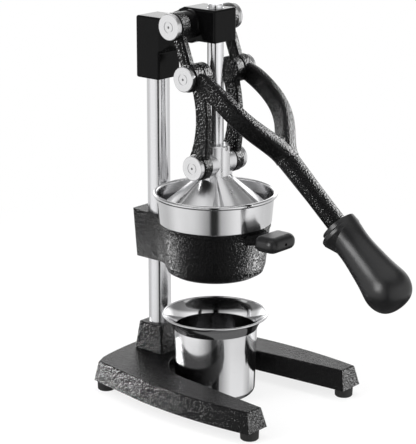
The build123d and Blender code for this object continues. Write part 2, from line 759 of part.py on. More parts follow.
def along_shaft(radius, near, far):
    return extrude(shaft_plane(near) * Circle(radius), far - near)


def lever_neck():
    """The stiff link between the T and M bosses of the right arm."""
    length = math.hypot(pivot_back, neck_drop)
    tilt = math.degrees(math.atan2(pivot_back, neck_drop))
    bar = Box(neck_thick, neck_width, length)
    bar = chamfer(bar.edges().filter_by(Axis.Z), 2.0)
    rib = Pos(lever_boss / 2 - 0.6 - neck_rib_radius, 0, 0) * Cylinder(neck_rib_radius, length)
    middle = Pos(lever_middle, pivot_back / 2, (top_pivot_z + mid_pivot_z) / 2)
    return middle * Rot(-tilt, 0, 0) * (bar + rib)


def lever_casting():
    body = along_shaft(shaft_dia / 2, shaft_taper, grip_start + grip_mouth_depth)
    body += loft([shaft_plane(0) * Circle(shaft_root_dia / 2),
                  shaft_plane(shaft_taper) * Circle(shaft_dia / 2)])
    body += Pos(0, -fork_ahead, fork_z) * Sphere(shaft_root_dia / 2)
    body += fork_web()
    body += along_shaft(tang_dia / 2, grip_start, grip_start + tang_length)
    right = lever_arm() + lever_neck()
    for y, z in ((pivot_back, top_pivot_z), (0.0, mid_pivot_z)):
        boss = rod_x(lever_boss_radius, lever_in, lever_out, y, z)
        right += chamfer(boss.edges().filter_by(GeomType.CIRCLE), 0.8)
    for y, z in ((pivot_back, top_pivot_z), (0.0, mid_pivot_z)):
        right -= rod_x(bolt_dia / 2 + FIT, lever_in - 1, lever_out + 1, y, z)
    for side in both_sides(right):
        body += side
    return body


def grip_profile():
    """Spline through (radius, distance from the mouth) points of the moulded grip."""
    length = grip_length
    return [
        (grip_mouth_radius, 0.0), (grip_waist_radius, 0.22 * length),
        (grip_waist_radius + 1.4, 0.45 * length), (grip_bulb_radius - 1.8, 0.66 * length),
        (grip_bulb_radius, 0.79 * length), (grip_bulb_radius * 0.86, 0.91 * length),
        (0.0, length),
    ]


def turned_on_shaft(face, distance=0.0, drop=0.0):
    """Revolve a (radius, distance) face about the shaft axis."""
    plane = shaft_plane(distance)
    across = plane.y_dir
    origin = plane.origin + across * drop
    frame = Plane(origin=origin, x_dir=plane.x_dir, z_dir=across * -1)
    return revolve(frame * face, Axis(origin, plane.z_dir))


def grip():
    points = grip_profile()
    curve = Spline(*points, tangents=[(0.1, 1.0), (-1.0, 0.0)])
    near = Line((0, 0), points[0])
    axis = Line(points[-1], (0, 0))
    body = turned_on_shaft(make_face([curve, near, axis]), grip_start)
    lip = make_face(Polyline((grip_mouth_radius - 3, 1.2), (grip_mouth_radius + grip_lip, 4.5),
                             (grip_mouth_radius + grip_lip, 8.0), (grip_waist_radius - 1.5, 19.0),
                             (grip_mouth_radius - 3, 19.0), close=True).edges())
    lip = fillet(lip.vertices().sort_by(Axis.X)[-2:], 1.6)
    low = -1 if shaft_plane(0).y_dir.Z > 0 else 1
    body += turned_on_shaft(lip, grip_start, low * grip_lip)
    body -= along_shaft(ferrule_radius + SEAT, grip_start - 1, grip_start + grip_mouth_depth)
    return body - along_shaft(tang_dia / 2 + FIT, grip_start, grip_start + tang_length + SEAT)


def grip_ferrule():
    ring = along_shaft(ferrule_radius, grip_start + 0.4, grip_start + grip_mouth_depth - SEAT)
    return ring - along_shaft(shaft_dia / 2 + FIT, grip_start - 1, grip_start + grip_mouth_depth)


# ================================================================ push links
def push_link():
    """The right push link, from L to M, bowed forward."""
    half = link_half_width
    top = mid_pivot_z - link_eye_radius * 0.72
    middle = (mid_pivot_z + low_pivot_z) / 2
    low_front = (-link_eye_radius * 0.78, low_pivot_z + link_eye_radius * 0.62)
    low_rear = (link_eye_radius * 0.93, low_pivot_z + link_eye_radius * 0.36)
    front = ThreePointArc(low_front, (-link_mid_front, middle), (-half, top))
    rear = ThreePointArc(low_rear, (link_mid_rear, middle), (half, top))
    outline = make_face([front, rear, Line((-half, top), (half, top)),
                         Line(low_front, low_rear)])
    start = (link_in + link_out - link_body) / 2
    plane = Plane(origin=(start, 0, 0), x_dir=(0, 1, 0), z_dir=(1, 0, 0))
    body = extrude(plane * outline, link_body)
    rims = body.edges().filter_by(GeomType.CIRCLE)
    body = fillet(rims, link_round)
    for z in (low_pivot_z, mid_pivot_z):
        eye = rod_x(link_eye_radius, link_in, link_out, 0, z)
        body += fillet(eye.edges().filter_by(GeomType.CIRCLE), 1.2)
    body -= rod_x(bolt_dia / 2 + FIT, link_in - 1, link_out + 1, 0, low_pivot_z)
    return body - rod_x(bolt_dia / 2 + FIT, link_in + 2.0, link_out + 1, 0, mid_pivot_z)


# ================================================================ cup
def cup():
    wall = cup_wall
    face = make_face([
        Line((0, 0), (cup_foot_radius - cup_corner, 0)),
        RadiusArc((cup_foot_radius - cup_corner, 0), (cup_foot_radius, cup_corner), -cup_corner),
        Line((cup_foot_radius, cup_corner), (cup_body_radius, cup_neck_z)),
        RadiusArc((cup_body_radius, cup_neck_z), (cup_rim_radius, cup_rim_z), cup_flare),
        Line((cup_rim_radius, cup_rim_z), (cup_rim_radius - wall, cup_rim_z)),
        RadiusArc((cup_rim_radius - wall, cup_rim_z), (cup_body_radius - wall, cup_neck_z),
                  -cup_flare),
        Line((cup_body_radius - wall, cup_neck_z), (cup_foot_radius - wall, cup_corner)),
        RadiusArc((cup_foot_radius - wall, cup_corner), (cup_foot_radius - cup_corner, wall),
                  cup_corner - wall),
        Line((cup_foot_radius - cup_corner, wall), (0, wall)),
        Line((0, wall), (0, 0)),
    ])
    shell = revolve(Plane.XZ * face, Axis.Z)
    bead = Plane.XZ * Pos(cup_rim_radius - wall / 2, cup_rim_z) * Circle(cup_bead)
    return shell + revolve(bead, Axis.Z)


# ================================================================ assembly
def named_pieces():
    pieces = {
        "base_casting": base_casting(),
        "foot_screws": foot_screws(),
        "column": column(),
        "column_plug": column_plug(),
        "column_washer": column_washer(),
        "column_bolt": column_bolt(),
        "bowl_holder": bowl_holder(),
        "holder_set_screws": holder_set_screws(),
        "holder_knob": holder_knob(),
        "knob_screw": knob_screw(),
        "strainer": strainer(),
        "reamer": reamer(),
        "head_casting": head_casting(),
        "head_set_screws": head_set_screws(),
        "rod_bush": rod_bush(),
        "lever_casting": lever_casting(),
        "grip": grip(),
        "grip_ferrule": grip_ferrule(),
        "press_head": press_head(),
        "guide_rod": guide_rod(),
        "cross_pin": cross_pin(),
        "cup": cup(),
    }
    for name, (x, y) in foot_places().items():
        pieces[name] = foot(x, y)
    sides = ("right", "left")
    for side, link in zip(sides, both_sides(push_link())):
        pieces["push_link_" + side] = link
    top = pivot_bolt(lever_out, lever_in - RUN - bolt_grip + SEAT, top_cap_radius,
                     pivot_back, top_pivot_z)
    middle = pivot_bolt(lever_out, lever_in, cap_radius, 0, mid_pivot_z)
    low = pivot_bolt(link_out, rod_dia / 2 + 1.2 + SEAT, cap_radius, 0, low_pivot_z)
    for name, bolt in (("top_bolt_", top), ("mid_bolt_", middle), ("low_bolt_", low)):
        for side, shape in zip(sides, both_sides(bolt)):
            pieces[name + side] = shape
    pieces["top_washers"] = both_sides(
        pivot_washer(lever_out, top_cap_radius, pivot_back, top_pivot_z))
    pieces["mid_washers"] = both_sides(pivot_washer(lever_out, cap_radius, 0, mid_pivot_z))
    pieces["low_washers"] = both_sides(pivot_washer(link_out, cap_radius, 0, low_pivot_z))
    return pieces


def solids_of(shape):
    shapes = shape if isinstance(shape, list) else [shape]
    return [solid for one in shapes for solid in one.solids()]


def box_of(solids):
    boxes = [solid.bounding_box(optimal=True) for solid in solids]
    low = [min(getattr(b.min, axis) for b in boxes) for axis in "XYZ"]
    high = [max(getattr(b.max, axis) for b in boxes) for axis in "XYZ"]
    return low, high


pieces = {name: solids_of(shape) for name, shape in named_pieces().items()}
low, high = box_of([solid for solids in pieces.values() for solid in solids])
origin_shift = (-(low[0] + high[0]) / 2, -(low[1] + high[1]) / 2, -low[2])
for name, solids in pieces.items():
    moved = [Pos(*origin_shift) * solid for solid in solids]
    export_step(Compound(moved), "parts/" + name + ".step")
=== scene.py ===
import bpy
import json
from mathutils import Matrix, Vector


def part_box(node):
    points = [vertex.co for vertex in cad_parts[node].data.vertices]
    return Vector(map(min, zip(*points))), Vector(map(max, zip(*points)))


bl_info = {
    "name": "Lever citrus press",
    "version": (1, 0, 0),
    "blender": (4, 5, 0),
    "location": "View3D > Sidebar > Citrus Press",
    "description": "Finishes a hand citrus press: castings, steel, grip, lights and camera",
    "category": "Object",
}

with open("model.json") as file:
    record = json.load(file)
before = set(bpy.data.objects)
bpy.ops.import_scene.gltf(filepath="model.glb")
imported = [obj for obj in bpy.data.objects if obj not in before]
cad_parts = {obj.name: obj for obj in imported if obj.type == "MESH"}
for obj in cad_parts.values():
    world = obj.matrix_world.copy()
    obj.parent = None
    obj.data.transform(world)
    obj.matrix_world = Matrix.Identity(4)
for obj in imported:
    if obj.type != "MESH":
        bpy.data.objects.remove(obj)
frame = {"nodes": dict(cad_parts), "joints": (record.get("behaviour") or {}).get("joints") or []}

import json
import math

import bmesh
import bpy
from bpy.props import FloatProperty, FloatVectorProperty, PointerProperty
from mathutils import Matrix, Vector

SENSOR_WIDTH = 36.0
FOCAL_PIXELS = 1802.5
RENDER_PIXELS = 444  # longer side of the render

WHITE = (1, 1, 1, 1)
BOLT_TONE = (0.88, 0.88, 0.89)
FERRULE_TONE = (0.8, 0.8, 0.81)
ZINC_TONE = (0.5, 0.5, 0.5)
BLACKENED_TONE = (0.06, 0.06, 0.06)
BEARING_TONE = (0.06, 0.06, 0.06)
RUBBER_TONE = (0.012, 0.012, 0.012)

column_low, column_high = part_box("column")
COLUMN_BACK = 0.075  # the column stands this far behind the guide rod
ROD = Vector(((column_low.x + column_high.x) / 2, (column_low.y + column_high.y) / 2 - COLUMN_BACK, 0))


def joint_anchor(name):
    """Where a hinge of the frame sits."""
    return Vector(next(j for j in frame["joints"] if j["name"] == name)["pos_m"])


TOP_PIVOT = joint_anchor("lever_hinge")
LOW_PIVOT = joint_anchor("link_left_hinge")


def centre_of(node):
    low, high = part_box(node)
    return (low + high) / 2


MID_PIVOT = centre_of("mid_bolt_left")


# ------------------------------------------------------------------ settings
class PressFinish(bpy.types.PropertyGroup):
    enamel: FloatVectorProperty(
        name="Enamel", description="Colour of the hammered black enamel",
        subtype="COLOR", size=3, default=(0.002, 0.002, 0.0021), min=0, max=1)
    enamel_roughness: FloatProperty(
        name="Enamel roughness", description="Roughness of the hammered enamel between its dimples",
        default=0.18, min=0, max=1)
    dimple_size: FloatProperty(
        name="Dimple size", description="Distance between the dimples of the hammered enamel",
        default=0.0017, min=0.0005, max=0.01, unit="LENGTH", precision=4)
    gloss: FloatVectorProperty(
        name="Gloss black", description="Colour of the smooth head casting",
        subtype="COLOR", size=3, default=(0.002, 0.002, 0.0021), min=0, max=1)
    plastic: FloatVectorProperty(
        name="Plastic", description="Colour of the grip and the side handle",
        subtype="COLOR", size=3, default=(0.006, 0.006, 0.0063), min=0, max=1)
    steel: FloatVectorProperty(
        name="Stainless steel", description="Colour of the cup and the strainer",
        subtype="COLOR", size=3, default=(0.77, 0.77, 0.78), min=0, max=1)
    chrome: FloatVectorProperty(
        name="Chrome", description="Colour of the column and the guide rod",
        subtype="COLOR", size=3, default=(0.82, 0.82, 0.835), min=0, max=1)
    aluminium: FloatVectorProperty(
        name="Aluminium", description="Colour of the polished press head",
        subtype="COLOR", size=3, default=(0.79, 0.79, 0.8), min=0, max=1)


class PressStage(bpy.types.PropertyGroup):
    azimuth: FloatProperty(
        name="Azimuth", description="Camera's turn round the press; zero looks along +Y",
        default=math.radians(-49.25), subtype="ANGLE")
    elevation: FloatProperty(
        name="Elevation", description="Camera's height above the horizon",
        default=math.radians(15.84), subtype="ANGLE")
    distance: FloatProperty(
        name="Distance", description="Camera's distance from the point it looks at",
        default=1.7853, unit="LENGTH")
    target_height: FloatProperty(
        name="Target height", description="Height of the point that the camera looks at",
        default=0.1781, unit="LENGTH")
    target_side: FloatProperty(
        name="Target offset", description="Sideways distance of that point from the guide rod",
        default=-0.00724, unit="LENGTH", precision=4)
    lens: FloatProperty(
        name="Lens", description="Focal length in millimetres, for a 36 mm sensor",
        default=FOCAL_PIXELS * SENSOR_WIDTH / RENDER_PIXELS, min=10)
    ambient: FloatProperty(
        name="Ambient", description="Strength of the white surroundings on matt surfaces",
        default=0.55, min=0)


# ------------------------------------------------------------------ node helpers
def add(tree, kind, inputs=None, **settings):
    """A node with its settings and inputs; an input is a socket to link or a value."""
    node = tree.nodes.new(kind)
    for key, value in settings.items():
        setattr(node, key, value)
    for key, value in (inputs or {}).items():
        if isinstance(value, bpy.types.NodeSocket):
            tree.links.new(value, node.inputs[key])
        else:
            node.inputs[key].default_value = value
    return node


def maths(tree, operation, *values, clamp=False):
    return add(tree, "ShaderNodeMath", dict(enumerate(values)), operation=operation,
               use_clamp=clamp).outputs[0]


def spread(tree, value, low, high, to_low, to_high):
    """Map a value from one range to another, held within it."""
    return add(tree, "ShaderNodeMapRange", {
        "Value": value, "From Min": low, "From Max": high, "To Min": to_low, "To Max": to_high,
    }).outputs["Result"]


def new_group(name, inputs, outputs):
    group = bpy.data.node_groups.new(name, "ShaderNodeTree")
    for label, kind, default in inputs:
        socket = group.interface.new_socket(name=label, in_out="INPUT", socket_type=kind)
        socket.default_value = default
    for label, kind in outputs:
        group.interface.new_socket(name=label, in_out="OUTPUT", socket_type=kind)
    return group, group.nodes.new("NodeGroupInput"), group.nodes.new("NodeGroupOutput")


def object_point(tree):
    return add(tree, "ShaderNodeTexCoord").outputs["Object"]


def hammered_group():
    """Dimples of hammered enamel, and a mask for pale flecks painted on the raised tops of its fine
    grain as glints.
    """
    group, given, result = new_group("Hammered enamel", [
        ("Dimples per metre", "NodeSocketFloat", 520.0),
        ("Roughness", "NodeSocketFloat", 0.3),
    ], [("Height", "NodeSocketFloat"), ("Roughness", "NodeSocketFloat"),
        ("Painted glint", "NodeSocketFloat")])
    point = object_point(group)
    wander = add(group, "ShaderNodeTexNoise", {"Vector": point, "Scale": 420.0, "Detail": 2.0})
    shifted = add(group, "ShaderNodeVectorMath", {
        0: wander.outputs["Color"], 1: (0.001, 0.001, 0.001)}, operation="MULTIPLY")
    moved = add(group, "ShaderNodeVectorMath", {0: point, 1: shifted.outputs[0]}, operation="ADD")
    cells = add(group, "ShaderNodeTexVoronoi", {
        "Vector": moved.outputs[0], "Scale": given.outputs[0], "Smoothness": 0.7},
        feature="SMOOTH_F1")
    fine = add(group, "ShaderNodeTexNoise", {"Vector": point, "Scale": 1400.0, "Detail": 3.0})
    dimple = spread(group, cells.outputs["Distance"], 0.05, 0.6, 0.0, 1.0)
    height = maths(group, "ADD", dimple, maths(group, "MULTIPLY", fine.outputs["Fac"], 0.25))
    broad = add(group, "ShaderNodeTexNoise", {"Vector": point, "Scale": 45.0, "Detail": 2.0})
    rough = maths(group, "ADD", given.outputs[1],
                  spread(group, broad.outputs["Fac"], 0.3, 0.7, -0.05, 0.08))
    group.links.new(height, result.inputs[0])
    group.links.new(rough, result.inputs[1])
    # the fleck mask marks the raised tops of the fine grain, where glints are painted as pale flecks
    group.links.new(spread(group, fine.outputs["Fac"], 0.58, 0.72, 0.0, 1.0), result.inputs[2])
    return group


def rings_group():
    """Fine concentric lines of turned or spun metal, round an axis through the origin."""
    group, given, result = new_group("Turned rings", [
        ("Point", "NodeSocketVector", (0, 0, 0)),
        ("Lines per metre", "NodeSocketFloat", 1500.0),
        ("Roughness", "NodeSocketFloat", 0.2),
        ("Variation", "NodeSocketFloat", 0.08),
    ], [("Height", "NodeSocketFloat"), ("Roughness", "NodeSocketFloat")])
    parts = add(group, "ShaderNodeSeparateXYZ", {0: given.outputs[0]})
    x, y, z = parts.outputs
    radius = maths(group, "SQRT", maths(
        group, "ADD", maths(group, "MULTIPLY", x, x), maths(group, "MULTIPLY", y, y)))
    line = add(group, "ShaderNodeCombineXYZ", {0: radius, 1: 0.0, 2: z})
    lines = add(group, "ShaderNodeTexNoise", {
        "Vector": line.outputs[0], "Scale": given.outputs[1], "Detail": 3.0, "Roughness": 0.7})
    smear = add(group, "ShaderNodeTexNoise", {
        "Vector": given.outputs[0], "Scale": 60.0, "Detail": 3.0})
    wave = maths(group, "SUBTRACT", lines.outputs["Fac"], 0.5)
    cloud = maths(group, "SUBTRACT", smear.outputs["Fac"], 0.5)
    both = maths(group, "MULTIPLY", maths(group, "ADD", wave, cloud), given.outputs[3])
    group.links.new(lines.outputs["Fac"], result.inputs[0])
    group.links.new(maths(group, "ADD", given.outputs[2], both, clamp=True), result.inputs[1])
    return group


def grain_group():
    """Soft mottling and a fine grain, for plastics, rubber and plate."""
    group, given, result = new_group("Fine grain", [
        ("Grains per metre", "NodeSocketFloat", 1200.0),
        ("Roughness", "NodeSocketFloat", 0.4),
        ("Variation", "NodeSocketFloat", 0.1),
    ], [("Height", "NodeSocketFloat"), ("Roughness", "NodeSocketFloat"),
        ("Shade", "NodeSocketFloat")])
    point = object_point(group)
    fine = add(group, "ShaderNodeTexNoise", {
        "Vector": point, "Scale": given.outputs[0], "Detail": 2.0})
    broad = add(group, "ShaderNodeTexNoise", {"Vector": point, "Scale": 38.0, "Detail": 4.0})
    cloud = maths(group, "SUBTRACT", broad.outputs["Fac"], 0.5)
    group.links.new(fine.outputs["Fac"], result.inputs[0])
    group.links.new(maths(group, "ADD", given.outputs[1],
                          maths(group, "MULTIPLY", cloud, given.outputs[2]), clamp=True),
                    result.inputs[1])
    group.links.new(broad.outputs["Fac"], result.inputs[2])
    return group


def shared(name, make):
    return bpy.data.node_groups.get(name) or make()


def use(tree, group, inputs):
    return add(tree, "ShaderNodeGroup", inputs, node_tree=group)


def new_material(name, **sockets):
    """A material with a Principled shader and constants on its own sockets."""
    material = bpy.data.materials.new(name)
    material.use_nodes = True
    tree = material.node_tree
    shader = tree.nodes["Principled BSDF"]
    for key, value in sockets.items():
        shader.inputs[key.replace("_", " ")].default_value = value
    return material, tree, shader


def bump(tree, shader, height, strength, distance):
    node = add(tree, "ShaderNodeBump", {
        "Strength": strength, "Distance": distance, "Height": height})
    tree.links.new(node.outputs["Normal"], shader.inputs["Normal"])


def shade(tree, shader, mask, dark, light):
    """Base colour that wanders between two near tones."""
    mix = add(tree, "ShaderNodeMix", {0: mask, 6: (*dark, 1), 7: (*light, 1)}, data_type="RGBA")
    tree.links.new(mix.outputs[2], shader.inputs["Base Color"])


def hammered_material(finish):
    material, tree, shader = new_material("Hammered black enamel", Specular_IOR_Level=0.15)
    cells = use(tree, shared("Hammered enamel", hammered_group), {
        0: 1.0 / finish.dimple_size, 1: finish.enamel_roughness})
    tone = tuple(finish.enamel)
    # painted glints: pale flecks, six times the enamel's tone, painted into the base colour on the
    # raised grain
    shade(tree, shader, cells.outputs["Painted glint"], tone, tuple(6.0 * c for c in tone))
    tree.links.new(cells.outputs["Roughness"], shader.inputs["Roughness"])
    bump(tree, shader, cells.outputs["Height"], 1.0, 0.00045)
    return material


def gloss_material(finish):
    material, tree, shader = new_material("Gloss black enamel", Specular_IOR_Level=0.1)
    grain = use(tree, shared("Fine grain", grain_group), {0: 260.0, 1: 0.13, 2: 0.08})
    tone = tuple(finish.gloss)
    shade(tree, shader, grain.outputs["Shade"], tone, tuple(1.6 * c for c in tone))
    tree.links.new(grain.outputs["Roughness"], shader.inputs["Roughness"])
    bump(tree, shader, grain.outputs["Height"], 0.04, 0.0001)
    return material


def plastic_material(name, tone, rough, grains, strength):
    material, tree, shader = new_material(name, Specular_IOR_Level=0.4)
    grain = use(tree, shared("Fine grain", grain_group), {0: grains, 1: rough, 2: 0.12})
    shade(tree, shader, grain.outputs["Shade"], tone, tuple(1.7 * c for c in tone))
    tree.links.new(grain.outputs["Roughness"], shader.inputs["Roughness"])
    bump(tree, shader, grain.outputs["Height"], strength, 0.0001)
    return material


def spun_material(name, tone, rough, variation, axis_point, along="Z", lines=1500.0, strength=0.1,
                  dark=0.93):
    """Metal with rings round an axis through axis_point, along Z or along X."""
    spread_up = {"Anisotropic": 0.9, "Anisotropic_Rotation": 0.25} if along == "Z" else {}
    material, tree, shader = new_material(name, Metallic=1.0, **spread_up)
    turn = (0, math.radians(-90), 0) if along == "X" else (0, 0, 0)
    place = Matrix.Rotation(turn[1], 4, "Y") @ -Vector(axis_point)
    mapping = add(tree, "ShaderNodeMapping", {
        "Vector": object_point(tree), "Location": place, "Rotation": turn})
    rings = use(tree, shared("Turned rings", rings_group), {
        0: mapping.outputs[0], 1: lines, 2: rough, 3: variation})
    shade(tree, shader, rings.outputs["Height"], tuple(dark * c for c in tone), tone)
    tree.links.new(rings.outputs["Roughness"], shader.inputs["Roughness"])
    bump(tree, shader, rings.outputs["Height"], strength, 0.00005)
    return material


def metal_material(name, tone, rough, variation, grains=500.0, strength=0.05):
    material, tree, shader = new_material(name, Metallic=1.0)
    grain = use(tree, shared("Fine grain", grain_group), {0: grains, 1: rough, 2: variation})
    shade(tree, shader, grain.outputs["Shade"], tuple(0.9 * c for c in tone), tone)
    tree.links.new(grain.outputs["Roughness"], shader.inputs["Roughness"])
    bump(tree, shader, grain.outputs["Height"], strength, 0.0001)
    return material


def dress(material, *names):
    """Give nodes of the frame one material."""
    for name in names:
        materials = frame["nodes"][name].data.materials
        materials.clear()
        materials.append(material)


# ------------------------------------------------------------------ operators
class PRESS_OT_castings(bpy.types.Operator):
    """Hammered enamel on the base, bowl holder, lever and push links, and gloss on the head"""
    bl_idname = "press.castings"
    bl_label = "Castings"

    def execute(self, context):
        finish = context.scene.press_finish
        enamel = hammered_material(finish)
        dress(enamel, "base_casting", "bowl_holder", "lever_casting",
              "push_link_left", "push_link_right")
        dress(gloss_material(finish), "head_casting")
        return {"FINISHED"}


class PRESS_OT_column(bpy.types.Operator):
    """Chrome on the column and the guide rod"""
    bl_idname = "press.column"
    bl_label = "Column and rod"

    def execute(self, context):
        tone = tuple(context.scene.press_finish.chrome)
        back = ROD + Vector((0, COLUMN_BACK, 0))
        dress(spun_material("Chromed column", tone, 0.2, 0.04, back, lines=900.0), "column")
        dress(spun_material("Chromed rod", tone, 0.2, 0.04, ROD, lines=900.0), "guide_rod")
        return {"FINISHED"}


class PRESS_OT_press_head(bpy.types.Operator):
    """Polished cast aluminium on the fluted press head"""
    bl_idname = "press.press_head"
    bl_label = "Press head"

    def execute(self, context):
        tone = tuple(context.scene.press_finish.aluminium)
        dress(metal_material("Polished aluminium", tone, 0.28, 0.1, strength=0.1), "press_head")
        return {"FINISHED"}


class PRESS_OT_steel(bpy.types.Operator):
    """Spun stainless steel on the strainer, reamer and cup"""
    bl_idname = "press.steel"
    bl_label = "Strainer and cup"

    def execute(self, context):
        tone = tuple(context.scene.press_finish.steel)
        dress(spun_material("Spun steel strainer", tone, 0.15, 0.06, ROD), "strainer", "reamer")
        dress(spun_material("Spun steel cup", tone, 0.08, 0.05, ROD), "cup")
        return {"FINISHED"}


class PRESS_OT_pivots(bpy.types.Operator):
    """Turned bright steel on the pivot bolts and their washers"""
    bl_idname = "press.pivots"
    bl_label = "Pivot bolts"

    def execute(self, context):
        for level, anchor in (("top", TOP_PIVOT), ("mid", MID_PIVOT), ("low", LOW_PIVOT)):
            turned = spun_material("Turned " + level + " bolts", BOLT_TONE, 0.26, 0.1, anchor,
                                   along="X", lines=900.0, strength=0.1, dark=0.7)
            dress(turned, level + "_bolt_left", level + "_bolt_right", level + "_washers")
        return {"FINISHED"}


class PRESS_OT_plastics(bpy.types.Operator):
    """Satin plastic on the grip and the side handle, rubber on the feet"""
    bl_idname = "press.plastics"
    bl_label = "Grip, handle and feet"

    def execute(self, context):
        tone = tuple(context.scene.press_finish.plastic)
        dress(plastic_material("Satin black plastic", tone, 0.3, 1500.0, 0.12),
              "grip", "holder_knob")
        dress(plastic_material("Foot rubber", RUBBER_TONE, 0.62, 900.0, 0.3),
              "foot_front_left", "foot_front_right", "foot_rear_left", "foot_rear_right")
        dress(plastic_material("Bearing plastic", BEARING_TONE, 0.45, 900.0, 0.1), "rod_bush")
        return {"FINISHED"}


class PRESS_OT_fasteners(bpy.types.Operator):
    """Plated steel on screws, washers, the plug and the cross pin"""
    bl_idname = "press.fasteners"
    bl_label = "Fasteners"

    def execute(self, context):
        plate = metal_material("Zinc plate", ZINC_TONE, 0.34, 0.15)
        dress(plate, "column_plug", "column_washer", "column_bolt", "foot_screws", "cross_pin")
        dark = metal_material("Blackened steel", BLACKENED_TONE, 0.4, 0.15)
        dress(dark, "holder_set_screws", "head_set_screws", "knob_screw")
        bright = metal_material("Bright ferrule", FERRULE_TONE, 0.2, 0.1)
        dress(bright, "grip_ferrule")
        return {"FINISHED"}


# ------------------------------------------------------------------ parts of the stage
def softbox(name, place, aim, width, height, power):
    """A rectangular lamp for matt surfaces, which shows in no reflection."""
    data = bpy.data.lights.new(name, "AREA")
    data.shape = "RECTANGLE"
    data.size = width
    data.size_y = height
    data.energy = power
    lamp = bpy.data.objects.new(name, data)
    bpy.context.scene.collection.objects.link(lamp)
    lamp.location = place
    lamp.rotation_mode = "QUATERNION"
    lamp.rotation_quaternion = (Vector(aim) - Vector(place)).to_track_quat("-Z", "Y")
    lamp.visible_glossy = False
    return lamp


def blend(tree, share, first, second):
    """The first value where share is 0, the second where it is 1."""
    return add(tree, "ShaderNodeMix", {0: share, 2: first, 3: second}).outputs[0]


def beside(tree, turn, centre, half_width, edge, inside, outside):
    """One value within half_width of a turn, all in degrees, and another past its soft edge."""
    off = maths(tree, "ABSOLUTE", maths(tree, "SUBTRACT", turn, math.radians(centre)))
    return spread(tree, off, math.radians(half_width), math.radians(half_width + edge),
                  inside, outside)


def panels(tree, turn, surround, boxes):
    """Brightness round the tent: a dim surround with soft-edged softboxes on it."""
    level = surround
    for centre, half_width, edge, brightness in boxes:
        glow = beside(tree, turn, centre, half_width, edge, brightness, 0.0)
        level = maths(tree, "ADD", level, glow)
    return level


# the reflection tent is a round wall about the guide rod; heights on it are from the worktop
TENT_RADIUS = 2.2
TENT_DEPTH = 5.0
TENT_LIFT = 0.4
HIGH_WALL = 0.7
LOWER_WALL = 0.1
# its softboxes, in three bands of height:
# (degrees right of the camera, half width, soft edge, brightness added to the wall's own)
TENT_HIGH = ((-60, 20, 30, 0.35), (55, 10, 50, 0.5))
TENT_MIDDLE = ((-70, 20, 40, 1.0), (70, 35, 35, 0.65), (130, 12, 8, 0.9))
TENT_LOW = ((-60, 25, 25, 0.6), (65, 20, 45, 0.9))
# black cards at the camera: (degrees right of the camera, half width, soft edge)
COLUMN_CARD = (-2, 6, 5)
CUP_CARD = (0, 10, 1)
# heights where one band runs into the next
MIDDLE_TO_HIGH = (-0.78, -0.74)
MIDDLE_TO_LOW = (-0.885, -0.9)
# left of the camera the low band dims downwards: heights, radians, share taken off
DIM_HEIGHT = (-0.92, -0.94)
DIM_TURN = (-0.2, -0.18)
DIM_SHARE = 0.5
# glow behind the press: radians either way from the camera, heights, brightness
BACK_TURN = (2.3, 2.7)
BACK_HEIGHT = (0.05, 0.3)
BACK_GLOW = 1.2
# the wall fades towards its foot and its top: heights, share that stays
FOOT_HEIGHT = (-1.7, -1.25)
FOOT_SHARE = 0.15
TOP_HEIGHT = (0.95, 1.3)
TOP_SHARE = 0.3


def tent_material(azimuth):
    """Glow of the reflection tent: softboxes at both sides and black cards at the camera."""
    material = bpy.data.materials.new("Reflection tent")
    material.use_nodes = True
    tree = material.node_tree
    tree.nodes.clear()
    turned = add(tree, "ShaderNodeMapping", {
        "Vector": object_point(tree), "Rotation": (0, 0, -azimuth)})
    x, y, z = add(tree, "ShaderNodeSeparateXYZ", {0: turned.outputs[0]}).outputs
    turn = maths(tree, "ARCTAN2", x, maths(tree, "MULTIPLY", y, -1.0))
    high = maths(tree, "MULTIPLY", panels(tree, turn, HIGH_WALL, TENT_HIGH),
                 beside(tree, turn, *COLUMN_CARD, 0.0, 1.0))
    middle = panels(tree, turn, LOWER_WALL, TENT_MIDDLE)
    low = maths(tree, "MULTIPLY", panels(tree, turn, LOWER_WALL, TENT_LOW),
                beside(tree, turn, *CUP_CARD, 0.0, 1.0))
    dimmed = maths(tree, "MULTIPLY", spread(tree, z, *DIM_HEIGHT, 0.0, DIM_SHARE),
                   spread(tree, turn, *DIM_TURN, 1.0, 0.0))
    low = maths(tree, "MULTIPLY", low, maths(tree, "SUBTRACT", 1.0, dimmed))
    level = blend(tree, spread(tree, z, *MIDDLE_TO_HIGH, 0.0, 1.0), middle, high)
    level = blend(tree, spread(tree, z, *MIDDLE_TO_LOW, 0.0, 1.0), level, low)
    behind = spread(tree, maths(tree, "ABSOLUTE", turn), *BACK_TURN, 0.0, BACK_GLOW)
    behind = maths(tree, "MULTIPLY", behind, spread(tree, z, *BACK_HEIGHT, 0.0, 1.0))
    level = maths(tree, "MULTIPLY", maths(tree, "ADD", level, behind),
                  spread(tree, z, *FOOT_HEIGHT, FOOT_SHARE, 1.0))
    level = maths(tree, "MULTIPLY", level, spread(tree, z, *TOP_HEIGHT, 1.0, TOP_SHARE))
    glow = add(tree, "ShaderNodeEmission", {"Color": WHITE, "Strength": level})
    result = add(tree, "ShaderNodeOutputMaterial")
    tree.links.new(glow.outputs[0], result.inputs["Surface"])
    return material


def reflection_tent(azimuth):
    """An open round tent that only shows in reflections."""
    work = bmesh.new()
    bmesh.ops.create_cone(work, cap_ends=False, segments=128, radius1=TENT_RADIUS,
                          radius2=TENT_RADIUS, depth=TENT_DEPTH)
    bmesh.ops.translate(work, verts=work.verts, vec=(0, 0, TENT_LIFT))
    mesh = bpy.data.meshes.new("reflection_tent")
    work.to_mesh(mesh)
    work.free()
    tent = bpy.data.objects.new("reflection_tent", mesh)
    bpy.context.scene.collection.objects.link(tent)
    tent.location = ROD
    mesh.materials.append(tent_material(azimuth))
    tent.visible_camera = False
    tent.visible_diffuse = False
    tent.visible_transmission = False
    tent.visible_shadow = False


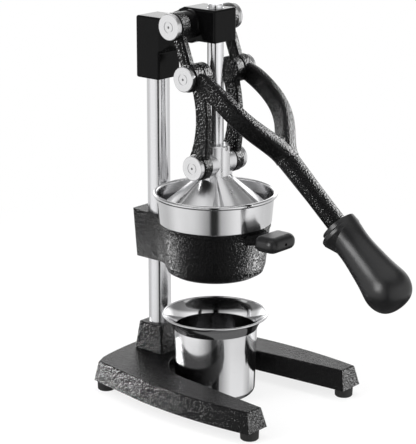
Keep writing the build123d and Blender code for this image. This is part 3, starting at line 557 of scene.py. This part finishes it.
def background_mask(tree):
    """One for camera, glossy and transmission rays, which all see the white surroundings."""
    path = add(tree, "ShaderNodeLightPath")
    seen = maths(tree, "MAXIMUM", path.outputs["Is Camera Ray"], path.outputs["Is Glossy Ray"])
    return maths(tree, "MAXIMUM", seen, path.outputs["Is Transmission Ray"])


FLOOR_SIZE = 6.0
FLOOR_DROP = 0.0003  # keeps the floor clear of the feet
AIM_HEIGHT = 0.2  # height that the lamps point at
# softboxes that only show in the gloss of some pieces: name, degrees right of the camera,
# height, distance, height of the point aimed at, width and height, power, pieces
LEVER_PIECES = ("lever_casting", "push_link_left", "push_link_right")
STRIPS = (
    ("left_strip", -112, 0.7, 1.2, AIM_HEIGHT, (0.8, 0.9), 80, LEVER_PIECES),
    ("right_strip", 105, 0.7, 1.2, AIM_HEIGHT, (1.4, 0.9), 80, LEVER_PIECES),
    ("base_strip_left", -122, 0.04, 1.2, AIM_HEIGHT, (0.8, 0.28), 30, ("base_casting",)),
    ("base_strip_right", 105, 0, 1.2, AIM_HEIGHT, (1.4, 0.3), 14, ("base_casting",)),
    ("grip_strip", -42, 0.55, 1.2, AIM_HEIGHT, (0.6, 0.7), 11, ("grip", "holder_knob")),
    ("holder_strip", -106, 0.04, 0.26, 0.04, (0.16, 0.07), 0.4, ("bowl_holder",)),
    ("holder_strip", 99, 0.04, 0.26, 0.04, (0.2, 0.07), 0.95, ("bowl_holder",)),
)


class PRESS_OT_stage(bpy.types.Operator):
    """Pale floor, white surroundings, soft lights and the camera"""
    bl_idname = "press.stage"
    bl_label = "Stage"

    def execute(self, context):
        stage = context.scene.press_stage
        self.floor()
        self.world(stage)
        self.camera(context, stage)
        self.lights(stage)
        context.scene.view_settings.view_transform = "Standard"
        return {"FINISHED"}

    def floor(self):
        work = bmesh.new()
        bmesh.ops.create_grid(work, x_segments=1, y_segments=1, size=FLOOR_SIZE)
        mesh = bpy.data.meshes.new("floor")
        work.to_mesh(mesh)
        work.free()
        floor = bpy.data.objects.new("floor", mesh)
        bpy.context.scene.collection.objects.link(floor)
        floor.location.z = -FLOOR_DROP
        floor.visible_glossy = False
        material, tree, shader = new_material("Pale floor", Roughness=0.9, Specular_IOR_Level=0.0)
        shader.inputs["Base Color"].default_value = (0.9, 0.9, 0.9, 1)
        glow = add(tree, "ShaderNodeEmission", {"Color": WHITE, "Strength": 1.0})
        away = add(tree, "ShaderNodeVectorMath", {0: object_point(tree)}, operation="LENGTH")
        white = spread(tree, away.outputs["Value"], 0.2, 0.8, 0.8, 1.0)
        share = maths(tree, "MULTIPLY", background_mask(tree), white)
        mix = add(tree, "ShaderNodeMixShader", {
            0: share, 1: shader.outputs[0], 2: glow.outputs[0]})
        tree.links.new(mix.outputs[0], tree.nodes["Material Output"].inputs["Surface"])
        mesh.materials.append(material)

    def world(self, stage):
        world = bpy.data.worlds.new("White surroundings")
        bpy.context.scene.world = world
        world.use_nodes = True
        tree = world.node_tree
        path = add(tree, "ShaderNodeLightPath")
        height = add(tree, "ShaderNodeSeparateXYZ", {
            0: add(tree, "ShaderNodeTexCoord").outputs["Generated"]}).outputs[2]
        below = spread(tree, height, -0.6, -0.4, 0.85, 0.0)
        overhead = maths(tree, "MULTIPLY", spread(tree, height, 0.3, 0.5, 0.0, 0.6),
                         spread(tree, height, 0.75, 0.9, 1.0, 0.0))
        dimmed = maths(tree, "MULTIPLY", path.outputs["Is Glossy Ray"],
                       maths(tree, "ADD", below, overhead))
        strength = maths(tree, "MULTIPLY", maths(tree, "SUBTRACT", 1.0, dimmed),
                         spread(tree, background_mask(tree), 0.0, 1.0, stage.ambient, 1.0))
        tree.links.new(strength, tree.nodes["Background"].inputs["Strength"])
        tree.nodes["Background"].inputs["Color"].default_value = WHITE

    def camera(self, context, stage):
        right = Vector((math.cos(stage.azimuth), math.sin(stage.azimuth), 0))
        level = Vector((math.sin(stage.azimuth), -math.cos(stage.azimuth), 0))
        back = level * math.cos(stage.elevation) + Vector((0, 0, math.sin(stage.elevation)))
        target = ROD + right * stage.target_side + Vector((0, 0, stage.target_height))
        data = bpy.data.cameras.new("camera")
        data.lens = stage.lens
        data.sensor_width = SENSOR_WIDTH
        camera = bpy.data.objects.new("camera", data)
        context.scene.collection.objects.link(camera)
        camera.location = target + back * stage.distance
        camera.rotation_mode = "QUATERNION"
        camera.rotation_quaternion = (-back).to_track_quat("-Z", "Y")
        data.clip_end = 50
        context.scene.camera = camera

    def lights(self, stage):
        aim = ROD + Vector((0, 0, AIM_HEIGHT))

        def around_press(turn, height, distance):
            angle = stage.azimuth + math.radians(turn)
            away = Vector((math.sin(angle), -math.cos(angle), 0)) * distance
            return ROD + away + Vector((0, 0, height))

        softbox("key_softbox", around_press(-62, 1.1, 1.5), aim, 0.7, 1.3, 22)
        softbox("fill_softbox", around_press(58, 0.9, 1.7), aim, 0.8, 1.2, 14)
        softbox("top_softbox", ROD + Vector((0, 0.2, 1.9)), aim, 1.2, 1.2, 20)
        reflection_tent(stage.azimuth)
        for name, turn, height, distance, aim_height, size, power, pieces in STRIPS:
            point = ROD + Vector((0, 0, aim_height))
            self.strip(name, around_press(turn, height, distance), point, size, power, pieces)

    def strip(self, name, place, aim, size, power, pieces):
        """A softbox that only shows in the gloss of the named pieces."""
        lit = bpy.data.collections.new(name + "_pieces")
        for piece in pieces:
            lit.objects.link(frame["nodes"][piece])
        lamp = softbox(name, place, aim, *size, power)
        lamp.visible_glossy = True
        lamp.visible_diffuse = False
        lamp.light_linking.receiver_collection = lit


class PRESS_PT_panel(bpy.types.Panel):
    """The steps that finish the press"""
    bl_idname = "PRESS_PT_panel"
    bl_label = "Citrus Press"
    bl_space_type = "VIEW_3D"
    bl_region_type = "UI"
    bl_category = "Citrus Press"

    def draw(self, context):
        layout = self.layout
        for group in (context.scene.press_finish, context.scene.press_stage):
            for name in group.__annotations__:
                layout.prop(group, name)
        for operator in STEPS:
            layout.operator(operator.bl_idname)


STEPS = (
    PRESS_OT_castings,
    PRESS_OT_column,
    PRESS_OT_press_head,
    PRESS_OT_steel,
    PRESS_OT_pivots,
    PRESS_OT_plastics,
    PRESS_OT_fasteners,
    PRESS_OT_stage,
)
CLASSES = (PressFinish, PressStage, *STEPS, PRESS_PT_panel)


def register():
    for item in CLASSES:
        bpy.utils.register_class(item)
    bpy.types.Scene.press_finish = PointerProperty(type=PressFinish)
    bpy.types.Scene.press_stage = PointerProperty(type=PressStage)


def unregister():
    del bpy.types.Scene.press_stage
    del bpy.types.Scene.press_finish
    for item in reversed(CLASSES):
        bpy.utils.unregister_class(item)


def main():
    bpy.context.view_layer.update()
    register()
    bpy.ops.press.castings()
    bpy.ops.press.column()
    bpy.ops.press.press_head()
    bpy.ops.press.steel()
    bpy.ops.press.pivots()
    bpy.ops.press.plastics()
    bpy.ops.press.fasteners()
    bpy.ops.press.stage()


if __name__ == "__main__":
    main()
